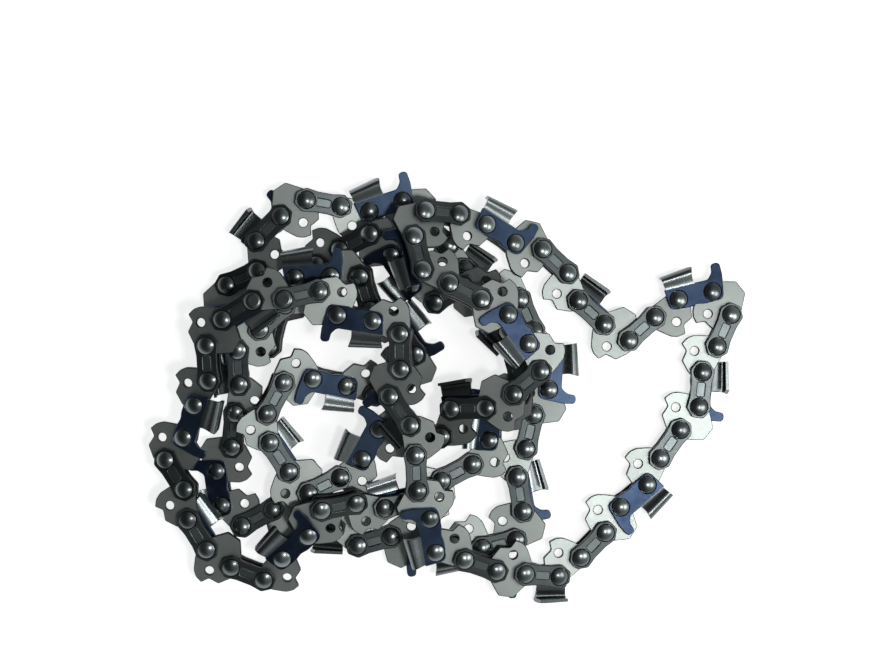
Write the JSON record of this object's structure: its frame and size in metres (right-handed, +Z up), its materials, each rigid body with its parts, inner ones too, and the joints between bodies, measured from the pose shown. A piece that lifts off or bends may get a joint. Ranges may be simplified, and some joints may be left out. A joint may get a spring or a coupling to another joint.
{
  "type": "chainsaw chain loop",
  "caption": "Closed loop of saw chain lying in a loose heap: hooked drive links riveted between side plates, with chisel cutters and depth gauges on either side in turn.",
  "frame": {"origin": "on the floor under the middle of the heap's outline", "axes": "+Z up along the rivets, +X to the right of the picture along the heap's longest side, +Y to its top"},
  "size_m": [0.1762, 0.1279, 0.0206],
  "materials": {
    "drive_link": "satin",
    "tie_strap": "satin",
    "cutter": "bright",
    "rivet": "polished"
  },
  "bodies": {
    "root": {"bumper_drive_links_1": "drive_link", "bumper_drive_links_2": "drive_link", "bumper_drive_links_3": "drive_link", "bumper_drive_links_4": "drive_link", "lower_cutter_01": "cutter", "lower_cutter_02": "cutter", "lower_cutter_03": "cutter", "lower_cutter_04": "cutter", "lower_cutter_05": "cutter", "lower_cutter_06": "cutter", "lower_cutter_07": "cutter", "lower_cutter_08": "cutter", "lower_cutter_09": "cutter", "lower_cutter_10": "cutter", "lower_cutter_11": "cutter", "lower_cutter_12": "cutter", "lower_cutter_13": "cutter", "lower_cutter_14": "cutter", "lower_cutter_15": "cutter", "lower_cutter_16": "cutter", "lower_cutter_17": "cutter", "lower_cutter_18": "cutter", "lower_straps_1": "tie_strap", "lower_straps_2": "tie_strap", "lower_straps_3": "tie_strap", "lower_straps_4": "tie_strap", "plain_drive_links_1": "drive_link", "plain_drive_links_2": "drive_link", "plain_drive_links_3": "drive_link", "plain_drive_links_4": "drive_link", "rivets_1": "rivet", "rivets_2": "rivet", "rivets_3": "rivet", "rivets_4": "rivet", "upper_cutter_01": "cutter", "upper_cutter_02": "cutter", "upper_cutter_03": "cutter", "upper_cutter_04": "cutter", "upper_cutter_05": "cutter", "upper_cutter_06": "cutter", "upper_cutter_07": "cutter", "upper_cutter_08": "cutter", "upper_cutter_09": "cutter", "upper_cutter_10": "cutter", "upper_cutter_11": "cutter", "upper_cutter_12": "cutter", "upper_cutter_13": "cutter", "upper_cutter_14": "cutter", "upper_cutter_15": "cutter", "upper_cutter_16": "cutter", "upper_cutter_17": "cutter", "upper_cutter_18": "cutter", "upper_straps_1": "tie_strap", "upper_straps_2": "tie_strap", "upper_straps_3": "tie_strap", "upper_straps_4": "tie_strap"}
  },
  "joints": []
}
